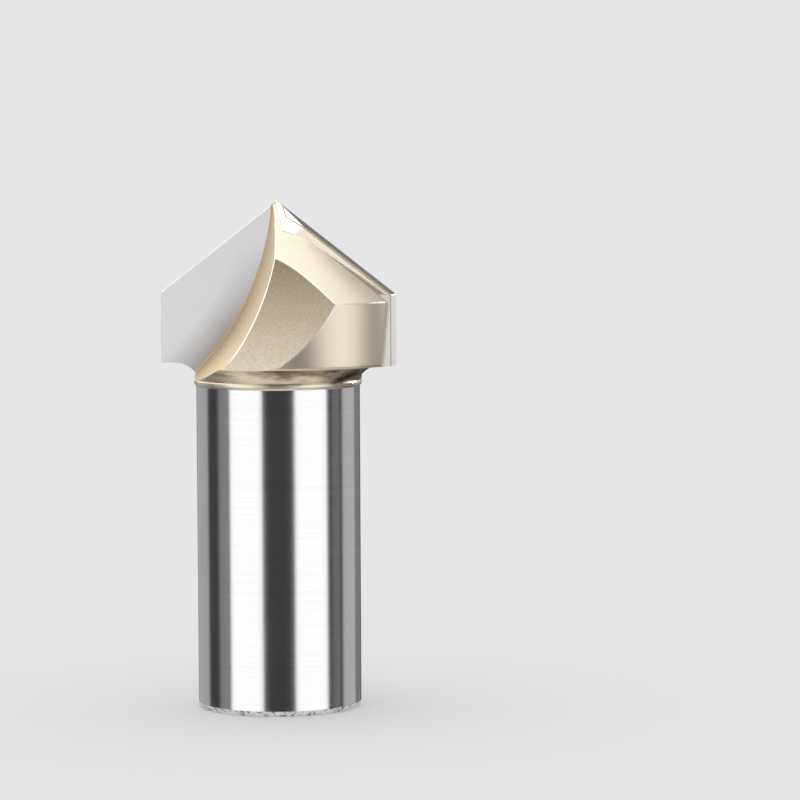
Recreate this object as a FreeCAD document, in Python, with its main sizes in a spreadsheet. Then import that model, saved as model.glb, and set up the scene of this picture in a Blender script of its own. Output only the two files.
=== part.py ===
import FreeCAD, Part
import math
import os
import Sketcher

# V groove router bit for a 12.7 mm collet, standing on the end of its shank.
# Origin at the centre of the shank's end face, +Z towards the point.
# The right-hand flute has its rake face in the plane Y = 0, looking towards +Y,
# and its material behind it, towards -Y. The left-hand flute is the same, half a turn on.

doc = FreeCAD.newDocument("VGrooveBit")
sheet = doc.addObject("Spreadsheet::Sheet", "Sizes")

# Millimetres and degrees
sizes = (
    ("shankDiameter", 12.7, "ground shank, held in the collet"),
    ("shankLength", 25.0, "ground length, from the end face to the collar"),
    ("shankBevel", 0.4, "bevel at the end of the shank"),
    ("collarStep", 0.1, "how far the narrowest neck stands out from the shank"),
    ("collarHeight", 0.5, "height of the rounded collar below the neck"),
    ("collarRadius", 0.35, "rounding of that collar"),
    ("neckHeight", 1.65, "from the end of the ground shank to the foot of the cutting edges"),
    ("heelLedge", 0.6, "flat ledge under the head, from the concave neck to the rounded rim"),
    ("cutDiameter", 19.05, "across the two side cutting edges"),
    ("sideEdge", 5.5, "length of the upright cutting edges"),
    ("pointAngle", 105.9, "included angle of the V"),
    ("webThickness", 0.3, "steel left between the two tips at the point"),
    ("reliefDepth", 0.325, "turned head behind the flutes, inside the cutting circle"),
    ("reliefAngle", 101.2, "included angle of the turned cone behind the flutes"),
    ("reliefDrop", 0.15, "apex of that cone below the point"),
    ("heelRound", 0.3, "rounding of the head's lower rim"),
    ("landAtPoint", 3.3, "depth of the ground land behind the edge, at the point"),
    ("landBend", 3.9, "from the point down to where the land stops widening so fast"),
    ("landAtBend", 1.69, "depth of the land at that height"),
    ("landAtCorner", 1.25, "the same, at the V's outer corner"),
    ("landAtHeel", 2.3, "the same, at the foot of the side edge"),
    ("edgeClearance", 7.0, "clearance angle behind the V edges, on the carbide"),
    ("backClearance", 31.2, "clearance angle of the steel behind it"),
    ("sideClearance", 10.0, "clearance angle behind the side edges"),
    ("tipThickness", 1.0, "carbide tip"),
    ("brazeGap", 0.08, "braze between a tip and its seat"),
    ("gulletRadius", 20.95, "milled gullet wall, measured in the rake plane"),
    ("gulletWeb", 0.25, "from the axis to the nearest point of the gullet's arc"),
    ("gulletRunOut", 1.173, "from the ground shank up to where the gullet's arc leaves the neck"),
    ("gulletLean", 25.6, "lean of the gullet wall from square to the rake plane"),
    ("flatCut", 2.92, "depth of the milled flat in the turned head, at the height of the V's corner"),
    ("flatLean", 25.7, "lean of the milled flat from upright"),
    ("facetOut", 28.4, "fall of the ground facet at the point, outwards"),
    ("facetBack", 34.2, "fall of the ground facet at the point, behind the edge"),
    ("facetGash", 30.0, "plan angle of the land's inner end"),
)
for row, (alias, size, note) in enumerate(sizes, 1):
    sheet.set("A%d" % row, alias)
    sheet.set("B%d" % row, str(size))
    sheet.set("C%d" % row, note)
    sheet.setAlias("B%d" % row, alias)

# Heights and radii that follow from the sizes
derived = (
    ("shankRadius", "=shankDiameter / 2"),
    ("cutRadius", "=cutDiameter / 2"),
    ("reliefRadius", "=cutRadius - reliefDepth"),
    ("footHeight", "=shankLength + neckHeight"),
    ("cornerHeight", "=footHeight + sideEdge"),
    ("halfPoint", "=pointAngle / 2"),
    ("pointHeight", "=cornerHeight + cutRadius / tan(halfPoint * 1 deg)"),
    ("reliefShoulder", "=pointHeight - reliefDrop - reliefRadius / tan(reliefAngle / 2 * 1 deg)"),
    ("seatDepth", "=tipThickness + brazeGap"),
    ("collarTop", "=shankLength + collarHeight"),
    ("neckRise", "=neckHeight - collarHeight"),
    ("neckReach", "=reliefRadius - heelRound - heelLedge - shankRadius"),
    ("neckRadius", "=(neckRise ^ 2 + (neckReach - collarStep) ^ 2) / (2 * neckRise)"),
    ("gulletOut", "=gulletRadius + gulletWeb"),
    ("neckWaist", "=shankRadius + collarStep"),
    ("gulletCentre", "=shankLength + gulletRunOut + sqrt(gulletRadius ^ 2 - (gulletOut - neckWaist) ^ 2)"),
    ("flatDepth", "=reliefRadius - flatCut"),
    ("beyond", "=cutDiameter"),
)
for row, (alias, formula) in enumerate(derived, len(sizes) + 2):
    sheet.set("A%d" % row, alias)
    sheet.set("B%d" % row, formula)
    sheet.setAlias("B%d" % row, alias)
doc.recompute()


# The number that a formula of sheet names comes to
def value(formula):
    return float(sheet.evalExpression(formula.replace("Sizes.", "")))


def originPlane(body, role):
    for plane in body.Origin.OriginFeatures:
        if plane.Role == role:
            return plane
    raise ValueError(role)


# A sketch on one of the body's own origin planes, moved along its normal
def newSketch(body, name, role, offset="0"):
    sketch = body.newObject("Sketcher::SketchObject", name)
    sketch.AttachmentSupport = [(originPlane(body, role), "")]
    sketch.MapMode = "FlatFace"
    if offset != "0":
        sketch.setExpression("AttachmentOffset.Base.z", offset)
    doc.recompute()
    return sketch


# Ties one end of a line or arc to its place, given as formulas of the sheet
def pin(sketch, geometry, end, x, y):
    for kind, formula in (("DistanceX", x), ("DistanceY", y)):
        row = sketch.addConstraint(Sketcher.Constraint(kind, -1, 1, geometry, end, value(formula)))
        sketch.setExpression("Constraints[%d]" % row, formula)


# Arc of the given radius between two points, its centre left (1) or right (-1) of the chord
def arcThrough(start, finish, radius, side):
    chord = finish - start
    middle = (start + finish) * 0.5
    reach = math.sqrt(max(radius ** 2 - (chord.Length / 2) ** 2, 0.0))
    across = FreeCAD.Vector(-chord.y, chord.x, 0).normalize()
    centre = middle + across * reach * side
    first, last = (start, finish) if side > 0 else (finish, start)
    turn = [math.atan2(end.y - centre.y, end.x - centre.x) for end in (first, last)]
    circle = Part.Circle(centre, FreeCAD.Vector(0, 0, 1), radius)
    return Part.ArcOfCircle(circle, turn[0], turn[1])


# Closed outline. A corner is (x, y), or (x, y, radius, side) where an arc leads on from it
def outline(sketch, corners):
    spots = [FreeCAD.Vector(value(corner[0]), value(corner[1]), 0) for corner in corners]
    for number, corner in enumerate(corners):
        start = spots[number]
        finish = spots[(number + 1) % len(spots)]
        if len(corner) == 2:
            sketch.addGeometry(Part.LineSegment(start, finish), False)
        else:
            sketch.addGeometry(arcThrough(start, finish, value(corner[2]), corner[3]), False)
            row = sketch.addConstraint(Sketcher.Constraint("Radius", number, value(corner[2])))
            sketch.setExpression("Constraints[%d]" % row, corner[2])

    def ends(number):
        turned = len(corners[number]) == 4 and corners[number][3] < 0
        return (2, 1) if turned else (1, 2)

    for number, corner in enumerate(corners):
        pin(sketch, number, ends(number)[0], corner[0], corner[1])
    for number in range(len(corners)):
        after = (number + 1) % len(corners)
        sketch.addConstraint(
            Sketcher.Constraint("Coincident", number, ends(number)[1], after, ends(after)[0]))
    doc.recompute()


# A body turned about the bit's axis by so many degrees
def newBody(name, turn=0):
    body = doc.addObject("PartDesign::Body", name)
    body.Placement = FreeCAD.Placement(FreeCAD.Vector(), FreeCAD.Rotation(FreeCAD.Vector(0, 0, 1), turn))
    return body


def aboutAxis(feature, sketch):
    feature.Profile = sketch
    feature.ReferenceAxis = (sketch, ["V_Axis"])
    feature.Angle = 360
    doc.recompute()
    return feature


# Turned blank: shank, collar bead, filleted neck, round head and its cone, with the two milled flats
def turnedCore():
    body = newBody("Core")
    profile = newSketch(body, "CoreProfile", "XZ_Plane")
    outline(profile, [
        ("0", "0"),
        ("Sizes.shankRadius - Sizes.shankBevel", "0"),
        ("Sizes.shankRadius", "Sizes.shankBevel"),
        ("Sizes.shankRadius", "Sizes.shankLength", "Sizes.collarRadius", 1),
        ("Sizes.neckWaist", "Sizes.collarTop", "Sizes.neckRadius", -1),
        ("Sizes.shankRadius + Sizes.neckReach", "Sizes.footHeight"),
        ("Sizes.reliefRadius - Sizes.heelRound", "Sizes.footHeight", "Sizes.heelRound", 1),
        ("Sizes.reliefRadius", "Sizes.footHeight + Sizes.heelRound"),
        ("Sizes.reliefRadius", "Sizes.reliefShoulder"),
        ("0", "Sizes.pointHeight - Sizes.reliefDrop"),
    ])
    aboutAxis(body.newObject("PartDesign::Revolution", "CoreTurning"), profile)

    flat = newSketch(body, "FlatProfile", "YZ_Plane")
    rise = "(Sizes.pointHeight - Sizes.cornerHeight)"
    drop = "(Sizes.cornerHeight - Sizes.shankLength)"
    lean = "tan(Sizes.flatLean * 1 deg)"
    outline(flat, [
        ("-Sizes.flatDepth + %s * %s" % (rise, lean), "Sizes.pointHeight"),
        ("-Sizes.beyond", "Sizes.pointHeight"),
        ("-Sizes.beyond", "Sizes.shankLength"),
        ("-Sizes.flatDepth - %s * %s" % (drop, lean), "Sizes.shankLength"),
    ])
    pocket = body.newObject("PartDesign::Pocket", "Flat")
    pocket.Profile = flat
    pocket.Type = "ThroughAll"
    pocket.Midplane = True
    doc.recompute()
    pair = body.newObject("PartDesign::PolarPattern", "FlatPair")
    pair.Originals = [pocket]
    pair.Axis = (flat, ["V_Axis"])
    pair.Angle = 360
    pair.Occurrences = 2
    body.Tip = pair
    doc.recompute()
    return body


# Blank of one cutting tooth: V edge and side edge in the rake plane, clearance behind them,
# the land's back and inner end, and the lower end trimmed to the neck
def toothEnvelope(side, turn):
    body = newBody("ToothBlank_" + side, turn)
    foot = "Sizes.collarTop"
    inner = "-Sizes.webThickness / 2"
    dip = "Sizes.webThickness / 2 / tan(Sizes.halfPoint * 1 deg)"
    rake = newSketch(body, "Rake_" + side, "XZ_Plane")
    outline(rake, [
        (inner, foot),
        ("Sizes.cutRadius", foot),
        ("Sizes.cutRadius", "Sizes.cornerHeight"),
        ("0", "Sizes.pointHeight"),
        (inner, "Sizes.pointHeight - " + dip),
    ])
    back = newSketch(body, "Back_" + side, "XZ_Plane", "Sizes.landAtPoint")
    fall = "Sizes.landAtPoint * tan(Sizes.edgeClearance * 1 deg) / sin(Sizes.halfPoint * 1 deg)"
    backRadius = "(Sizes.cutRadius - Sizes.landAtPoint * tan(Sizes.sideClearance * 1 deg))"
    backPoint = "(Sizes.pointHeight - %s)" % fall
    outline(back, [
        (inner, foot),
        (backRadius, foot),
        (backRadius, "%s - %s / tan(Sizes.halfPoint * 1 deg)" % (backPoint, backRadius)),
        ("0", backPoint),
        (inner, "%s - %s" % (backPoint, dip)),
    ])
    loft = body.newObject("PartDesign::AdditiveLoft", "Clearance_" + side)
    loft.Profile = rake
    loft.Sections = [back]
    loft.Ruled = True
    doc.recompute()

    landBack = newSketch(body, "LandBack_" + side, "YZ_Plane")
    outline(landBack, [
        ("-Sizes.landAtHeel", "Sizes.shankLength"),
        ("-Sizes.landAtHeel", "Sizes.footHeight"),
        ("-Sizes.landAtCorner", "Sizes.cornerHeight"),
        ("-Sizes.landAtBend", "Sizes.pointHeight - Sizes.landBend"),
        ("-Sizes.landAtPoint", "Sizes.pointHeight"),
        ("-Sizes.beyond", "Sizes.pointHeight"),
        ("-Sizes.beyond", "Sizes.shankLength"),
    ])
    step = body.newObject("PartDesign::Pocket", "Step_" + side)
    step.Profile = landBack
    step.Type = "ThroughAll"
    step.Midplane = True
    doc.recompute()

    landEnd = newSketch(body, "LandEnd_" + side, "XY_Plane")
    outline(landEnd, [
        (inner, "0"),
        ("-Sizes.beyond", "0"),
        ("-Sizes.beyond", "-Sizes.beyond"),
        ("%s + Sizes.beyond * tan(Sizes.facetGash * 1 deg)" % inner, "-Sizes.beyond"),
    ])
    gash = body.newObject("PartDesign::Pocket", "Gash_" + side)
    gash.Profile = landEnd
    gash.Type = "ThroughAll"
    gash.Midplane = True
    doc.recompute()

    neck = newSketch(body, "Neck_" + side, "XZ_Plane")
    outline(neck, [
        ("Sizes.neckWaist", "Sizes.collarTop", "Sizes.neckRadius", -1),
        ("Sizes.shankRadius + Sizes.neckReach", "Sizes.footHeight"),
        ("Sizes.beyond", "Sizes.footHeight"),
        ("Sizes.beyond", "Sizes.collarTop"),
    ])
    aboutAxis(body.newObject("PartDesign::Groove", "NeckTrim_" + side), neck)
    return body


# Cutter with a round section in the rake plane, leaning as the gullet wall leans
def gulletCutter(name, turn, behind, ahead, gap):
    body = newBody(name, turn)
    sketch = newSketch(body, name + "Arc", "XZ_Plane", behind)
    circle = Part.Circle(FreeCAD.Vector(value("gulletOut"), value("gulletCentre"), 0),
                         FreeCAD.Vector(0, 0, 1), value("gulletRadius"))
    sketch.addGeometry(circle, False)
    shift = "(%s) * tan(Sizes.gulletLean * 1 deg)" % behind
    pin(sketch, 0, 3, "Sizes.gulletOut + " + shift, "Sizes.gulletCentre")
    row = sketch.addConstraint(Sketcher.Constraint("Radius", 0, value("gulletRadius - (%s)" % gap)))
    sketch.setExpression("Constraints[%d]" % row, "Sizes.gulletRadius - (%s)" % gap)
    doc.recompute()
    pad = body.newObject("PartDesign::Pad", name + "Sweep")
    pad.Profile = sketch
    pad.UseCustomVector = True
    pad.AlongSketchNormal = True
    pad.Direction = FreeCAD.Vector(-math.tan(math.radians(value("gulletLean"))), 1, 0)
    pad.setExpression("Direction.x", "-tan(Sizes.gulletLean * 1 deg)")
    pad.setExpression("Length", "(%s) + (%s)" % (behind, ahead))
    doc.recompute()
    return body


# Everything above a ground plane that passes through a point of the flute and falls by
# so much for each millimetre outwards and for each millimetre behind the rake plane
def groundOff(name, turn, behind, height, fallOut, fallBack):
    body = newBody(name, turn)
    sketch = newSketch(body, name + "Plane", "XY_Plane")
    out = value(fallOut)
    back = value(fallBack)
    tilt = FreeCAD.Rotation(FreeCAD.Vector(back, out, 0), math.degrees(math.atan(math.hypot(out, back))))
    sketch.AttachmentOffset = FreeCAD.Placement(FreeCAD.Vector(0, -value(behind), value(height)), tilt)
    sketch.setExpression("AttachmentOffset.Base.y", "-(%s)" % behind)
    sketch.setExpression("AttachmentOffset.Base.z", height)
    sketch.setExpression("AttachmentOffset.Rotation.Axis.x", fallBack)
    sketch.setExpression("AttachmentOffset.Rotation.Axis.y", fallOut)
    sketch.setExpression("AttachmentOffset.Rotation.Angle",
                         "atan(sqrt((%s) ^ 2 + (%s) ^ 2))" % (fallOut, fallBack))
    reach = "Sizes.cutDiameter"
    outline(sketch, [
        ("-" + reach, "-" + reach),
        (reach, "-" + reach),
        (reach, reach),
        ("-" + reach, reach),
    ])
    pad = body.newObject("PartDesign::Pad", name + "Depth")
    pad.Profile = sketch
    pad.setExpression("Length", reach)
    doc.recompute()
    return body


def fused(name, shapes):
    joined = doc.addObject("Part::MultiFuse", name)
    joined.Shapes = shapes
    joined.Refine = True
    return joined


def cut(name, base, tool):
    result = doc.addObject("Part::Cut", name)
    result.Base = base
    result.Tool = tool
    result.Refine = True
    return result


def common(name, shapes):
    shared = doc.addObject("Part::MultiCommon", name)
    shared.Shapes = shapes
    return shared


core = turnedCore()
teeth = []
cutters = []
pieces = []
for side, turn in (("right", 0), ("left", 180)):
    edgeDrop = "Sizes.tipThickness * tan(Sizes.edgeClearance * 1 deg) / sin(Sizes.halfPoint * 1 deg)"
    behindTip = groundOff("BackGround_" + side, turn, "Sizes.tipThickness",
                          "Sizes.pointHeight - " + edgeDrop,
                          "1 / tan(Sizes.halfPoint * 1 deg)",
                          "tan(Sizes.backClearance * 1 deg) / sin(Sizes.halfPoint * 1 deg)")
    atPoint = groundOff("PointGround_" + side, turn, "0", "Sizes.pointHeight",
                        "tan(Sizes.facetOut * 1 deg)", "tan(Sizes.facetBack * 1 deg)")
    tooth = cut("Tooth_" + side, toothEnvelope(side, turn), fused("Ground_" + side, [behindTip, atPoint]))
    gullet = gulletCutter("Gullet_" + side, turn, "Sizes.seatDepth", "Sizes.beyond", "0")
    plate = gulletCutter("Plate_" + side, turn, "Sizes.tipThickness", "0", "Sizes.brazeGap")
    seat = gulletCutter("Seat_" + side, turn, "Sizes.seatDepth", "0", "0")
    tip = common("Tip_" + side, [tooth, plate])
    filler = cut("Filler_" + side, common("SeatShare_" + side, [tooth, seat]), tip)
    tip.Label = "carbide_tip_" + side
    filler.Label = "braze_seam_" + side
    teeth.append(tooth)
    cutters.append(gullet)
    pieces += [tip, filler]
    doc.recompute()
steel = cut("Steel", fused("Blank", [core] + teeth), fused("Gullets", cutters))
steel.Label = "steel_body"
pieces.insert(0, steel)
doc.recompute()

for thing in doc.Objects:
    if "Invalid" in thing.State or "Error" in thing.State:
        raise RuntimeError("%s did not build: %s" % (thing.Name, thing.State))
os.makedirs("parts", exist_ok=True)
for piece in pieces:
    shape = piece.Shape
    if shape.isNull() or not shape.isValid():
        raise RuntimeError(piece.Label + " has no sound shape")
    print("%-20s %d solid, %.3f mm3" % (piece.Label, len(shape.Solids), shape.Volume))
    shape.exportStep("parts/%s.step" % piece.Label)
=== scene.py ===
import math

import bmesh
import bpy
from mathutils import Matrix, Vector


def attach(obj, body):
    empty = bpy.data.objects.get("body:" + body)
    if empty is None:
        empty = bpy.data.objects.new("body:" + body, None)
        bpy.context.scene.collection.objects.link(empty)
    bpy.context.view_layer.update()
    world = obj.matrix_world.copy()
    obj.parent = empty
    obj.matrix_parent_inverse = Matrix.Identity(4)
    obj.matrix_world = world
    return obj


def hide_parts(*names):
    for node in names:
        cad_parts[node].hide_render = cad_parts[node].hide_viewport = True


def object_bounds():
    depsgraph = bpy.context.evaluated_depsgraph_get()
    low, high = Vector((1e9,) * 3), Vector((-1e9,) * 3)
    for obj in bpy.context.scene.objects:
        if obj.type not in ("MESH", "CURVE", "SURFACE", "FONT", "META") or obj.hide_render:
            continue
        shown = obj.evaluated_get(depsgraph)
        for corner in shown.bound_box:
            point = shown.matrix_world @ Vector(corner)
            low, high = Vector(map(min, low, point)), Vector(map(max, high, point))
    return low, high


# V groove router bit standing on its shank. Metres, origin at the centre of the shank's end face, Z up.
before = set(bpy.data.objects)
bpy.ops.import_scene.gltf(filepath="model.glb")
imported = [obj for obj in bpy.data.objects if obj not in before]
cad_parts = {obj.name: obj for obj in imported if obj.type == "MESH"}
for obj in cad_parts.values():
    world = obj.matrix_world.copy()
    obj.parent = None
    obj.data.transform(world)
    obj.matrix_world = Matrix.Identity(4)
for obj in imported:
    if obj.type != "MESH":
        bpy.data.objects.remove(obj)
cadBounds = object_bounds()
print("frame loaded:", sorted(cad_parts))

mm = 0.001
camera = {
    "turn": 16.3, "distance": 275.3, "height": 43.62, "pitch": 4.12, "yaw": 1.971, "roll": -0.262,
    "focalPixels": 3547.7, "framePixels": 800, "sensor": 36.0, "clipStart": 0.01, "clipEnd": 20,
}
# Heights in millimetres up the bit, how far under the point the steel's edges stay sharp, the gullet's arc
# in the plane of the rake faces and its lean behind it, and the lean of the facet ground across the point
head = {
    "bevelTop": 0.5, "shankTop": 25.0, "footHeight": 26.65,
    "pointHeight": cadBounds[1][2] / mm, "sharpPoint": 1.6,
    "gulletOut": 21.2, "gulletCentre": 41.05, "gulletRadius": 20.95,
    "gulletLean": math.tan(math.radians(25.6)),
    "facetOut": math.tan(math.radians(28.4)), "facetBack": math.tan(math.radians(34.2)),
}
facetLean = Vector((head["facetOut"], head["facetBack"], 1.0)).normalized()


# Camera
def aimCamera(settings):
    turn = math.radians(settings["turn"])
    yaw = math.radians(settings["yaw"])
    pitch = math.radians(settings["pitch"])
    roll = math.radians(settings["roll"])
    reach = settings["distance"] * mm
    spot = Vector((reach * math.sin(turn), -reach * math.cos(turn), settings["height"] * mm))
    ahead = Vector((-math.sin(turn), math.cos(turn), 0))
    right = Vector((math.cos(turn), math.sin(turn), 0))
    up = Vector((0, 0, 1))
    aheadYawed = ahead * math.cos(yaw) + right * math.sin(yaw)
    rightYawed = right * math.cos(yaw) - ahead * math.sin(yaw)
    look = aheadYawed * math.cos(pitch) - up * math.sin(pitch)
    upPitched = up * math.cos(pitch) + aheadYawed * math.sin(pitch)
    rightRolled = rightYawed * math.cos(roll) + upPitched * math.sin(roll)
    upRolled = upPitched * math.cos(roll) - rightYawed * math.sin(roll)
    data = bpy.data.cameras.new("photoCamera")
    data.sensor_width = settings["sensor"]
    data.lens = settings["focalPixels"] / settings["framePixels"] * settings["sensor"]
    data.clip_start = settings["clipStart"]
    data.clip_end = settings["clipEnd"]
    holder = bpy.data.objects.new("photoCamera", data)
    turned = Matrix((rightRolled, upRolled, -look)).transposed().to_4x4()
    holder.matrix_world = Matrix.Translation(spot) @ turned
    bpy.context.scene.collection.objects.link(holder)
    bpy.context.scene.camera = holder


aimCamera(camera)
print("camera set")


# Node helpers
def newMaterial(name):
    material = bpy.data.materials.new(name)
    material.use_nodes = True
    material.node_tree.nodes.clear()
    return material, material.node_tree


def addNode(tree, kind, **settings):
    node = tree.nodes.new(kind)
    for key, value in settings.items():
        setattr(node, key, value)
    return node


def newGroup(name, inputs, outputs):
    group = bpy.data.node_groups.new(name, "ShaderNodeTree")
    for label, kind, value in inputs:
        socket = group.interface.new_socket(name=label, in_out="INPUT", socket_type=kind)
        if value is not None:
            socket.default_value = value
    for label, kind in outputs:
        group.interface.new_socket(name=label, in_out="OUTPUT", socket_type=kind)
    return group, addNode(group, "NodeGroupInput"), addNode(group, "NodeGroupOutput")


def worked(tree, operation, *values):
    node = addNode(tree, "ShaderNodeMath", operation=operation)
    for socket, value in zip(node.inputs, values):
        if isinstance(value, (int, float)):
            socket.default_value = value
        else:
            tree.links.new(value, socket)
    return node.outputs[0]


# Tool marks: fine scratches, long in one direction. Stretch divides the pattern's scale per axis.
# Relief turns the shading about the bit's axis, as on a surface that is ground away behind its edge.
def makeToolMarks():
    group, given, out = newGroup("ToolMarks", [
        ("Vector", "NodeSocketVector", None),
        ("Scale", "NodeSocketFloat", 9000.0),
        ("Stretch", "NodeSocketVector", (0.02, 0.02, 1.0)),
        ("Turn", "NodeSocketVector", (0.0, 0.0, 0.0)),
        ("Strength", "NodeSocketFloat", 0.1),
        ("Height", "NodeSocketFloat", 0.00001),
        ("Relief", "NodeSocketFloat", 0.0),
    ], [("Mark", "NodeSocketFloat"), ("Normal", "NodeSocketVector")])
    mapping = addNode(group, "ShaderNodeMapping", vector_type="POINT")
    noise = addNode(group, "ShaderNodeTexNoise")
    noise.inputs["Detail"].default_value = 3.0
    noise.inputs["Roughness"].default_value = 0.6
    bump = addNode(group, "ShaderNodeBump")
    surface = addNode(group, "ShaderNodeNewGeometry")
    relieved = addNode(group, "ShaderNodeVectorRotate", rotation_type="Z_AXIS")
    link = group.links.new
    link(surface.outputs["Normal"], relieved.inputs["Vector"])
    link(given.outputs["Relief"], relieved.inputs["Angle"])
    link(relieved.outputs["Vector"], bump.inputs["Normal"])
    link(given.outputs["Vector"], mapping.inputs["Vector"])
    link(given.outputs["Turn"], mapping.inputs["Rotation"])
    stretched = addNode(group, "ShaderNodeVectorMath", operation="MULTIPLY")
    link(mapping.outputs[0], stretched.inputs[0])
    link(given.outputs["Stretch"], stretched.inputs[1])
    link(stretched.outputs[0], noise.inputs["Vector"])
    link(given.outputs["Scale"], noise.inputs["Scale"])
    link(noise.outputs["Fac"], bump.inputs["Height"])
    link(given.outputs["Strength"], bump.inputs["Strength"])
    link(given.outputs["Height"], bump.inputs["Distance"])
    link(noise.outputs["Fac"], out.inputs["Mark"])
    link(bump.outputs["Normal"], out.inputs["Normal"])
    return group


# Blasted grain: fine pits in all directions
def makeBlastGrain():
    group, given, out = newGroup("BlastGrain", [
        ("Vector", "NodeSocketVector", None),
        ("Scale", "NodeSocketFloat", 9000.0),
        ("Strength", "NodeSocketFloat", 0.3),
        ("Height", "NodeSocketFloat", 0.00003),
    ], [("Grain", "NodeSocketFloat"), ("Normal", "NodeSocketVector")])
    grain = addNode(group, "ShaderNodeTexNoise")
    grain.inputs["Detail"].default_value = 4.0
    grain.inputs["Roughness"].default_value = 0.7
    bump = addNode(group, "ShaderNodeBump")
    link = group.links.new
    link(given.outputs["Vector"], grain.inputs["Vector"])
    link(given.outputs["Scale"], grain.inputs["Scale"])
    link(grain.outputs["Fac"], bump.inputs["Height"])
    link(given.outputs["Strength"], bump.inputs["Strength"])
    link(given.outputs["Height"], bump.inputs["Distance"])
    link(grain.outputs["Fac"], out.inputs["Grain"])
    link(bump.outputs["Normal"], out.inputs["Normal"])
    return group


# Painted shade: how far a spot lies into painted shade, 0 to 1, by its height alone, and by its height
# together with its distance from the gullet's arc
def makePaintedShadeMask():
    group, given, out = newGroup("PaintedShadeMask", [
        ("Vector", "NodeSocketVector", None),
        ("Height Start", "NodeSocketFloat", 0.0),
        ("Height End", "NodeSocketFloat", 1.0),
        ("Arc Reach", "NodeSocketFloat", 0.0001),
    ], [("By Height", "NodeSocketFloat"), ("By Arc", "NodeSocketFloat")])
    split = addNode(group, "ShaderNodeSeparateXYZ")
    link = group.links.new
    link(given.outputs["Vector"], split.inputs[0])
    across = worked(group, "SUBTRACT", worked(group, "ABSOLUTE", split.outputs["X"]), head["gulletOut"] * mm)
    up = worked(group, "SUBTRACT", split.outputs["Z"], head["gulletCentre"] * mm)
    squares = worked(group, "ADD", worked(group, "MULTIPLY", across, across),
                     worked(group, "MULTIPLY", up, up))
    inside = worked(group, "SUBTRACT", head["gulletRadius"] * mm, worked(group, "SQRT", squares))
    near = worked(group, "DIVIDE", inside, given.outputs["Arc Reach"])
    fade = addNode(group, "ShaderNodeClamp")
    link(worked(group, "SUBTRACT", 1.0, near), fade.inputs["Value"])
    rise = addNode(group, "ShaderNodeMapRange")
    link(split.outputs["Z"], rise.inputs["Value"])
    link(given.outputs["Height Start"], rise.inputs["From Min"])
    link(given.outputs["Height End"], rise.inputs["From Max"])
    link(rise.outputs["Result"], out.inputs["By Height"])
    link(worked(group, "MULTIPLY", fade.outputs["Result"], rise.outputs["Result"]), out.inputs["By Arc"])
    return group


toolMarks = makeToolMarks()
blastGrain = makeBlastGrain()
paintedShade = makePaintedShadeMask()


def rampBetween(tree, source, stops):
    ramp = addNode(tree, "ShaderNodeValToRGB")
    while len(ramp.color_ramp.elements) < len(stops):
        ramp.color_ramp.elements.new(0.5)
    for element, (place, colour) in zip(ramp.color_ramp.elements, stops):
        element.position = place
        element.color = (*colour, 1)
    tree.links.new(source, ramp.inputs["Fac"])
    return ramp.outputs["Color"]


def mapped(tree, source, low, high, toLow, toHigh):
    node = addNode(tree, "ShaderNodeMapRange")
    tree.links.new(source, node.inputs["Value"])
    for name, value in (("From Min", low), ("From Max", high), ("To Min", toLow), ("To Max", toHigh)):
        node.inputs[name].default_value = value
    return node.outputs["Result"]


# The colour with painted shade: it is multiplied by the shade's tint where the painted shade is full
def withPaintedShade(tree, place, colour, settings):
    shadeMask = addNode(tree, "ShaderNodeGroup")
    shadeMask.node_tree = paintedShade
    tree.links.new(place, shadeMask.inputs["Vector"])
    for socket, value in settings["shape"].items():
        shadeMask.inputs[socket].default_value = value
    mix = addNode(tree, "ShaderNodeMix", data_type="RGBA", blend_type="MULTIPLY")
    tree.links.new(shadeMask.outputs[settings["by"]], mix.inputs["Factor"])
    tree.links.new(colour, mix.inputs["A"])
    mix.inputs["B"].default_value = (*settings["tint"], 1)
    return mix.outputs["Result"]


# A metal with marks or grain: colour and roughness run between two values over a span of the pattern
usualSpan = (0.3, 0.7)


def metalMaterial(name, group, settings):
    material, tree = newMaterial(name)
    shader = addNode(tree, "ShaderNodeBsdfPrincipled")
    out = addNode(tree, "ShaderNodeOutputMaterial")
    place = addNode(tree, "ShaderNodeTexCoord")
    effect = addNode(tree, "ShaderNodeGroup")
    effect.node_tree = group
    link = tree.links.new
    link(place.outputs["Object"], effect.inputs["Vector"])
    for socket, value in settings["pattern"].items():
        effect.inputs[socket].default_value = value
    amount = effect.outputs[0]
    low, high = settings.get("span", usualSpan)
    colour = rampBetween(tree, amount, [(low, settings["dark"]), (high, settings["pale"])])
    # Painted shade darkens the colour where a finish asks for it
    if "paintedShade" in settings:
        colour = withPaintedShade(tree, place.outputs["Object"], colour, settings["paintedShade"])
    link(colour, shader.inputs["Base Color"])
    roughLow, roughHigh = settings["roughness"]
    link(mapped(tree, amount, low, high, roughLow, roughHigh), shader.inputs["Roughness"])
    link(effect.outputs["Normal"], shader.inputs["Normal"])
    shader.inputs["Metallic"].default_value = 1.0
    link(shader.outputs["BSDF"], out.inputs["Surface"])
    return material


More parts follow.
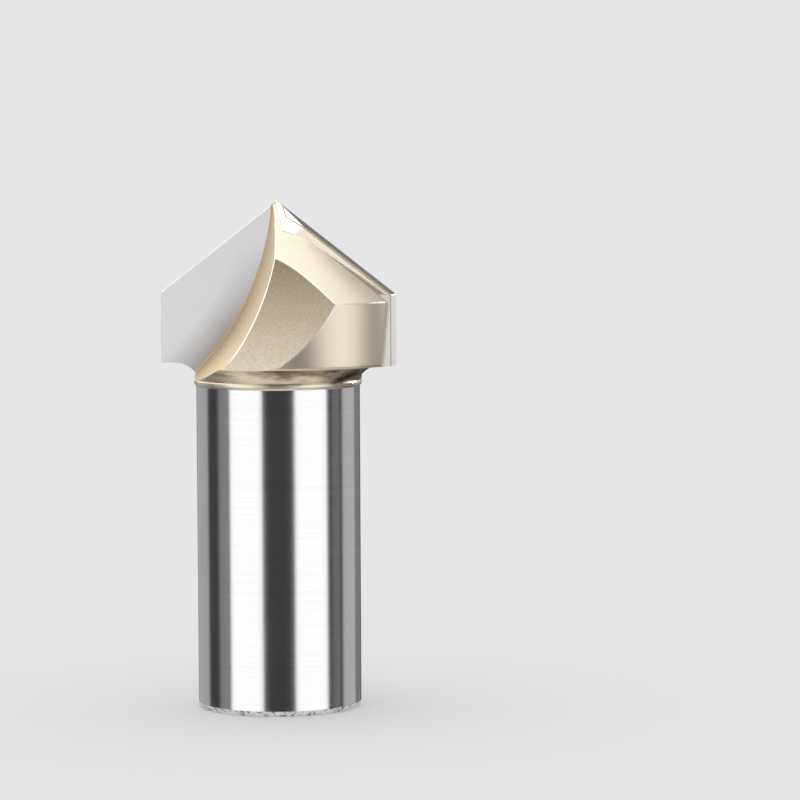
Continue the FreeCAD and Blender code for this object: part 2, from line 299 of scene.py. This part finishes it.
finishes = {
    "groundShank": (toolMarks, {
        "dark": (0.76, 0.76, 0.77), "pale": (0.80, 0.80, 0.81), "roughness": (0.15, 0.18),
        "pattern": {"Scale": 9000.0, "Stretch": (0.01, 0.01, 1.0), "Strength": 0.05, "Height": 0.000002},
    }),
    "turnedCoat": (toolMarks, {
        "dark": (0.84, 0.75, 0.60), "pale": (0.87, 0.79, 0.65), "roughness": (0.43, 0.46),
        "pattern": {"Scale": 7000.0, "Stretch": (0.05, 0.05, 1.0), "Strength": 0.01, "Height": 0.000002,
                    "Relief": math.radians(-8.4)},
    }),
    # Painted reflections: the turned neck's colour runs in large blotches from dark brown to pale gold, over
    # real bumps
    "turnedNeckPaintedReflections": (toolMarks, {
        "dark": (0.30, 0.22, 0.13), "pale": (0.97, 0.88, 0.70), "roughness": (0.26, 0.42),
        "span": (0.38, 0.56),
        "pattern": {"Scale": 330.0, "Stretch": (0.8, 0.8, 2.6), "Strength": 0.3, "Height": 0.00008},
    }),
    "groundPoint": (blastGrain, {
        "dark": (0.90, 0.90, 0.89), "pale": (0.97, 0.97, 0.96), "roughness": (0.30, 0.36),
        "pattern": {"Scale": 9000.0, "Strength": 0.1, "Height": 0.000004},
    }),
    "groundSide": (blastGrain, {
        "dark": (0.90, 0.87, 0.81), "pale": (0.97, 0.95, 0.91), "roughness": (0.50, 0.56),
        "pattern": {"Scale": 9000.0, "Strength": 0.15, "Height": 0.000006},
    }),
    "nickedBevel": (blastGrain, {
        "dark": (0.10, 0.09, 0.08), "pale": (0.78, 0.77, 0.74), "roughness": (0.30, 0.45),
        "span": (0.40, 0.52),
        "pattern": {"Scale": 2200.0, "Strength": 0.4, "Height": 0.00003},
    }),
    "blastedCoat": (blastGrain, {
        "dark": (0.72, 0.62, 0.45), "pale": (0.96, 0.88, 0.72), "roughness": (0.42, 0.55),
        "pattern": {"Scale": 6000.0, "Strength": 0.8, "Height": 0.00003},
        # Painted shade: the milled flats are darker towards the top
        "paintedShade": {"by": "By Height", "tint": (0.46, 0.41, 0.33),
                 "shape": {"Height Start": 0.0270, "Height End": 0.0345}},
    }),
    "groundLand": (blastGrain, {
        "dark": (0.70, 0.64, 0.54), "pale": (0.82, 0.77, 0.68), "roughness": (0.34, 0.42),
        "pattern": {"Scale": 9000.0, "Strength": 0.3, "Height": 0.00001},
    }),
    "milledCoat": (toolMarks, {
        "dark": (0.78, 0.60, 0.36), "pale": (0.88, 0.70, 0.45), "roughness": (0.38, 0.44),
        "pattern": {"Scale": 8000.0, "Stretch": (1.0, 0.05, 1.0), "Strength": 0.15, "Height": 0.000006},
    }),
    "brightEdge": (blastGrain, {
        "dark": (0.92, 0.88, 0.78), "pale": (0.97, 0.94, 0.88), "roughness": (0.35, 0.45),
        "pattern": {"Scale": 9000.0, "Strength": 0.1, "Height": 0.000002},
    }),
    "groundCarbide": (toolMarks, {
        "dark": (0.59, 0.59, 0.60), "pale": (0.65, 0.65, 0.66), "roughness": (0.28, 0.34),
        "pattern": {"Scale": 9000.0, "Stretch": (0.03, 1.0, 1.0), "Turn": (0.0, 0.65, 0.0),
                    "Strength": 0.08, "Height": 0.000002},
        # Painted shade: the rake face is darker near the gullet's arc, fading out towards the top
        "paintedShade": {"by": "By Arc", "tint": (0.50, 0.45, 0.40),
                 "shape": {"Arc Reach": 0.0026, "Height Start": 0.0365, "Height End": 0.0295}},
    }),
    "brazeSeam": (blastGrain, {
        "dark": (0.50, 0.36, 0.18), "pale": (0.74, 0.57, 0.32), "roughness": (0.35, 0.5),
        "pattern": {"Scale": 6000.0, "Strength": 0.3, "Height": 0.00001},
    }),
}
materials = {name: metalMaterial(name, group, settings) for name, (group, settings) in finishes.items()}
print("materials made:", sorted(materials))


# Merged copy of a CAD node, with its flat faces joined up again and its edges slightly broken
def edgedCopy(node, name, settings):
    mesh = bpy.data.meshes.new(name)
    for finish in settings["finishes"]:
        mesh.materials.append(materials[finish])
    shape = bmesh.new()
    shape.from_mesh(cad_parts[node].data)
    bmesh.ops.remove_doubles(shape, verts=shape.verts, dist=settings["weld"] * mm)
    bmesh.ops.dissolve_limit(shape, angle_limit=math.radians(settings["flat"]), verts=shape.verts,
                             edges=shape.edges, delimit={"NORMAL"})
    shape.normal_update()
    for face in shape.faces:
        face.smooth = True
        finish = settings["chooser"](face.calc_center_median() / mm, face.normal)
        face.material_index = settings["finishes"].index(finish)
    weights = shape.edges.layers.float.new("bevel_weight_edge")
    for edge in shape.edges:
        middle = (edge.verts[0].co + edge.verts[1].co) / 2 / mm
        keen = edge.is_convex and edge.calc_face_angle(0.0) > math.radians(settings["keen"])
        # An edge beside a sliver of a face stays sharp, because a broken edge would fold over it
        across = min(2 * face.calc_area() for face in edge.link_faces) / edge.calc_length()
        roomy = across > settings["edge"] * mm
        edge[weights] = float(keen and roomy and settings["lowest"] < middle.z < settings["highest"])
    shape.to_mesh(mesh)
    shape.free()
    for stale in ("custom_normal", "sharp_face", "sharp_edge"):
        if stale in mesh.attributes:
            mesh.attributes.remove(mesh.attributes[stale])
    mesh.set_sharp_from_angle(angle=math.radians(settings["sharp"]))
    piece = bpy.data.objects.new(name, mesh)
    bpy.context.scene.collection.objects.link(piece)
    bevel = piece.modifiers.new("BrokenEdges", "BEVEL")
    bevel.width = settings["edge"] * mm
    bevel.segments = 1
    bevel.limit_method = "WEIGHT"
    bevel.offset_type = settings["measure"]
    bevel.harden_normals = True
    bevel.use_clamp_overlap = False
    bevel.material = settings["finishes"].index("brightEdge")
    # The broken edges leave a few edges of no length where they end, which would become flat triangles
    closing = piece.modifiers.new("ClosedCorners", "WELD")
    closing.merge_threshold = settings["weld"] * mm
    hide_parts(node)
    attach(piece, "root")
    return piece


# The finishes on each kind of piece, and which one a face takes, by where it is and how it leans
steelFinishes = (
    "groundShank", "turnedCoat", "blastedCoat", "groundLand", "milledCoat", "brightEdge", "nickedBevel",
    "turnedNeckPaintedReflections", "groundPoint", "groundSide",
)
tipFinishes = ("groundCarbide", "brightEdge", "groundPoint", "groundSide")
# What tells faces apart: distances in millimetres, and parts of a face's direction of length 1
telling = {
    "arcMiss": 0.04, "sideOut": 9.25, "facetMiss": 0.01, "upright": 0.05, "sideward": 0.95,
    "downward": -0.1, "flatOut": 0.88, "flatUpLeast": 0.4, "flatUpMost": 0.46, "turnedMiss": 0.05,
}


# The flat ground across the point, the same on both sides
def onPointFacet(normal):
    return (Vector((abs(normal.x), abs(normal.y), normal.z)) - facetLean).length < telling["facetMiss"]


# The milled gullet walls: a round section in the rake plane that leans as it goes back, and the same
# again half a turn on
def onGullet(spot):
    for way in (1, -1):
        across = way * (spot.x + head["gulletLean"] * spot.y) - head["gulletOut"]
        if abs(math.hypot(across, spot.z - head["gulletCentre"]) - head["gulletRadius"]) < telling["arcMiss"]:
            return True
    return False


# The clearance behind the upright cutting edges
def onSideClearance(spot, normal):
    away = math.hypot(spot.x, spot.y) > telling["sideOut"]
    return away and abs(normal.z) < telling["upright"] and abs(normal.x) > telling["sideward"]


# The milled flats beside the gullets, which lean in towards the top
def onFlat(normal):
    return abs(normal.y) > telling["flatOut"] and telling["flatUpLeast"] < normal.z < telling["flatUpMost"]


def steelFinish(spot, normal):
    if spot.z < head["bevelTop"] and normal.z < telling["downward"]:
        return "nickedBevel"
    if spot.z < head["shankTop"]:
        return "groundShank"
    if onGullet(spot):
        return "milledCoat"
    if onFlat(normal):
        return "blastedCoat"
    if onPointFacet(normal):
        return "groundPoint"
    if onSideClearance(spot, normal):
        return "groundSide"
    tangent = Vector((-spot.y, spot.x, 0)).normalized()
    if abs(normal.dot(tangent)) < telling["turnedMiss"]:
        return "turnedNeckPaintedReflections" if spot.z < head["footHeight"] else "turnedCoat"
    return "groundLand"


def tipFinish(spot, normal):
    if onPointFacet(normal):
        return "groundPoint"
    if onSideClearance(spot, normal):
        return "groundSide"
    return "groundCarbide"


# Millimetres and degrees: the weld of close vertices, what counts as flat, sharp and keen, and the height
# that edges are broken from
joining = {"weld": 0.002, "flat": 0.05, "sharp": 12.0, "keen": 25.0, "lowest": 27.0}
steelPiece = edgedCopy("steel_body", "headAndShank", {
    **joining, "highest": head["pointHeight"] - head["sharpPoint"], "measure": "OFFSET",
    "finishes": steelFinishes, "edge": 0.08, "chooser": steelFinish,
})
for side in ("right", "left"):
    tipPiece = edgedCopy("carbide_tip_" + side, "carbideTip" + side.capitalize(), {
        **joining, "highest": head["pointHeight"], "measure": "ABSOLUTE",
        "finishes": tipFinishes, "edge": 0.055, "chooser": tipFinish,
    })
    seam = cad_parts["braze_seam_" + side]
    seam.data.materials.clear()
    seam.data.materials.append(materials["brazeSeam"])
print("pieces dressed")

# Pale plain floor, and a small glowing card between it and the bit, seen only in reflections, which paints a
# bright reflection onto the lower bevel
stage = {
    "floorRadius": 8.0, "floorHeight": -0.00002, "floorColour": (0.86, 0.86, 0.87), "floorRoughness": 0.9,
    "cardRadius": 0.0069, "cardHeight": -0.00001, "cardGlow": 0.75, "sides": 96,
}


def disc(name, radius, height):
    shape = bmesh.new()
    bmesh.ops.create_circle(shape, cap_ends=True, segments=stage["sides"], radius=radius)
    bmesh.ops.translate(shape, verts=shape.verts, vec=(0, 0, height))
    mesh = bpy.data.meshes.new(name)
    shape.to_mesh(mesh)
    shape.free()
    piece = bpy.data.objects.new(name, mesh)
    bpy.context.scene.collection.objects.link(piece)
    material, tree = newMaterial(name)
    mesh.materials.append(material)
    return piece, tree, addNode(tree, "ShaderNodeOutputMaterial")


floor, floorTree, floorOut = disc("floor", stage["floorRadius"], stage["floorHeight"])
floorShader = addNode(floorTree, "ShaderNodeBsdfPrincipled")
floorShader.inputs["Base Color"].default_value = (*stage["floorColour"], 1)
floorShader.inputs["Roughness"].default_value = stage["floorRoughness"]
floorShader.inputs["Specular IOR Level"].default_value = 0.0
floorTree.links.new(floorShader.outputs["BSDF"], floorOut.inputs["Surface"])
floor.visible_glossy = False
card, cardTree, cardOut = disc("reflectionGlowCard", stage["cardRadius"], stage["cardHeight"])
cardGlow = addNode(cardTree, "ShaderNodeEmission")
cardGlow.inputs["Strength"].default_value = stage["cardGlow"]
cardTree.links.new(cardGlow.outputs["Emission"], cardOut.inputs["Surface"])
card.visible_camera = False
card.visible_diffuse = False
card.visible_shadow = False


# Softboxes and panels round the bit, as azimuths from the camera, positive to its right. A span is the
# angle that a lamp's width takes up, seen from the bit. Other measures are metres.
def around(azimuth, reach, height):
    angle = math.radians(camera["turn"] - 90 + azimuth)
    return Vector((reach * math.cos(angle), reach * math.sin(angle), height))


def softbox(name, settings):
    data = bpy.data.lights.new(name, "AREA")
    data.shape = "RECTANGLE"
    if "wide" in settings:
        data.size = settings["wide"]
    else:
        data.size = 2 * settings["reach"] * math.tan(math.radians(settings["span"] / 2))
    data.size_y = settings["tall"]
    data.energy = settings["radiance"] * math.pi * data.size * data.size_y
    lamp = bpy.data.objects.new(name, data)
    spot = around(settings["azimuth"], settings["reach"], settings["height"])
    aim = Vector((0, 0, settings["aim"])) - spot
    lamp.matrix_world = Matrix.Translation(spot) @ aim.to_track_quat("-Z", "Y").to_matrix().to_4x4()
    lamp.visible_camera = False
    lamp.visible_diffuse = False
    bpy.context.scene.collection.objects.link(lamp)


usualLamp = {"reach": 0.7, "height": 0.1, "aim": 0.1, "tall": 1.0}
raisedLamp = {"reach": 0.7, "height": 0.5, "aim": 0.03, "tall": 0.8}
lamps = {
    "boxLeft": {**usualLamp, "azimuth": -47.8, "span": 49.5, "reach": 0.6, "radiance": 1.25},
    "boxRight": {**usualLamp, "azimuth": 46.8, "span": 49.5, "reach": 0.6, "radiance": 1.25},
    "sideLeft": {**usualLamp, "azimuth": -85, "span": 17, "radiance": 0.2},
    "sideRight": {**usualLamp, "azimuth": 88, "span": 13, "radiance": 0.13},
    "backLeft": {**usualLamp, "azimuth": -143, "span": 50, "radiance": 0.38},
    "wallLeft": {**raisedLamp, "azimuth": -155, "span": 50, "radiance": 1.3},
    "farRight": {**usualLamp, "azimuth": 150, "span": 26, "tall": 0.8, "radiance": 0.16},
    "backRight": {**usualLamp, "azimuth": 118, "span": 34, "height": 0.05, "aim": 0.05, "tall": 0.8,
                  "radiance": 0.45},
    "overhead": {**raisedLamp, "azimuth": 100, "reach": 0.02, "height": 0.6, "wide": 0.56, "tall": 0.7,
                 "radiance": 1.38},
    "upperLeft": {**raisedLamp, "azimuth": -105, "span": 70, "reach": 0.45, "height": 0.42, "tall": 0.3,
                  "radiance": 1.9},
    "upperRight": {**raisedLamp, "azimuth": 105, "span": 80, "reach": 0.42, "height": 0.45, "tall": 0.25,
                   "radiance": 0.42},
    "lowRight": {**raisedLamp, "azimuth": 129, "span": 16, "height": 0.19, "tall": 0.2, "radiance": 7.5},
}
for name, settings in lamps.items():
    softbox(name, settings)

# The world lights the floor evenly and is as pale as it behind the bit. In the metal's reflections
# it is dark all round and bright from steeply below, where the neck looks in the photograph's view and
# the shank does from high up.
air = {
    "light": (0.92, 0.92, 0.92), "inMetal": (0.045, 0.045, 0.048), "belowMetal": (0.80, 0.79, 0.77),
    "belowStart": -0.70, "belowEnd": -0.84,
}
backdrop = [tone * shine for tone, shine in zip(stage["floorColour"], air["light"])]
world = bpy.data.worlds.new("studio")
world.use_nodes = True
bpy.context.scene.world = world
worldTree = world.node_tree
worldTree.nodes.clear()
background = addNode(worldTree, "ShaderNodeBackground")
worldOut = addNode(worldTree, "ShaderNodeOutputWorld")
rays = addNode(worldTree, "ShaderNodeLightPath")
seen = addNode(worldTree, "ShaderNodeMix", data_type="RGBA")
reflected = addNode(worldTree, "ShaderNodeMix", data_type="RGBA")
seen.inputs["A"].default_value = (*air["light"], 1)
seen.inputs["B"].default_value = (*backdrop, 1)
direction = addNode(worldTree, "ShaderNodeTexCoord")
tilt = addNode(worldTree, "ShaderNodeSeparateXYZ")
worldTree.links.new(direction.outputs["Generated"], tilt.inputs[0])
below = mapped(worldTree, tilt.outputs["Z"], air["belowStart"], air["belowEnd"], 0.0, 1.0)
underside = addNode(worldTree, "ShaderNodeMix", data_type="RGBA")
underside.inputs["A"].default_value = (*air["inMetal"], 1)
underside.inputs["B"].default_value = (*air["belowMetal"], 1)
worldTree.links.new(below, underside.inputs["Factor"])
worldTree.links.new(underside.outputs["Result"], reflected.inputs["B"])
worldTree.links.new(rays.outputs["Is Camera Ray"], seen.inputs["Factor"])
worldTree.links.new(seen.outputs["Result"], reflected.inputs["A"])
worldTree.links.new(rays.outputs["Is Glossy Ray"], reflected.inputs["Factor"])
worldTree.links.new(reflected.outputs["Result"], background.inputs["Color"])
worldTree.links.new(background.outputs["Background"], worldOut.inputs["Surface"])
bpy.context.scene.view_settings.view_transform = "Standard"
print("studio lit")
